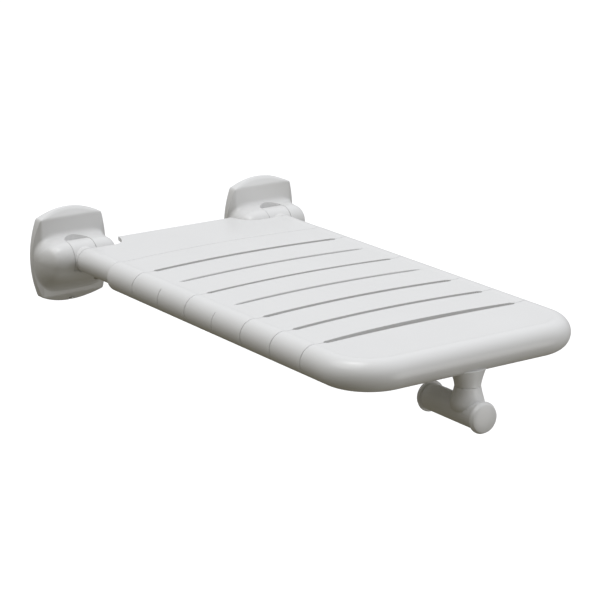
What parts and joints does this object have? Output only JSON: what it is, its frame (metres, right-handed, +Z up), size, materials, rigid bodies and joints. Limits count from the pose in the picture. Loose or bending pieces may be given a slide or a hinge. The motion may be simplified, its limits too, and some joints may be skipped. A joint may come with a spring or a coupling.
{
  "type": "folding shower seat",
  "caption": "Wall-mounted fold-up shower seat with slatted nylon modules on a steel core, two hinged wall brackets and a T-shaped pull grip under the front.",
  "frame": {"origin": "on the wall plane, midway between the two wall brackets and at the height of their centres, which is the centre of the four outermost wall screw holes", "axes": "+X to the right when facing the wall, +Y into the wall so the seat projects along -Y, +Z up"},
  "size_m": [0.358, 0.598, 0.1288],
  "materials": {
    "nylon": "satin gloss, moulded",
    "steel": "stainless, brushed",
    "bush_plastic": "natural acetal",
    "stop_rubber": "matt"
  },
  "bodies": {
    "brackets": {"wall_plate_left": "steel", "wall_plate_right": "steel", "housing_left": "nylon", "housing_right": "nylon", "hinge_pin_left": "steel", "hinge_pin_right": "steel", "pin_clips": "steel", "spring_washers": "steel", "friction_washers": "bush_plastic", "stop_pads": "stop_rubber", "housing_screws": "steel"},
    "seat": {"hinge_bushes": "bush_plastic", "knuckle_left": "nylon", "knuckle_right": "nylon", "arm_screws": "steel", "core_tube": "steel", "rear_module": "nylon", "slat_module_1": "nylon", "double_module_2": "nylon", "double_module_3": "nylon", "slat_module_4": "nylon", "slat_module_5": "nylon", "front_module": "nylon", "module_screws": "steel", "grip_collar": "nylon", "grip_bar": "nylon", "grip_cap_front": "nylon", "grip_cap_rear": "nylon", "grip_stud": "steel", "grip_barrel_nut": "steel"}
  },
  "joints": [
    {"name": "seat_fold", "type": "hinge", "parent": "brackets", "child": "seat", "pos_m": [0, -0.03, 0.0023], "axis": [-1, 0, 0], "range_deg": [0, 90]}
  ]
}
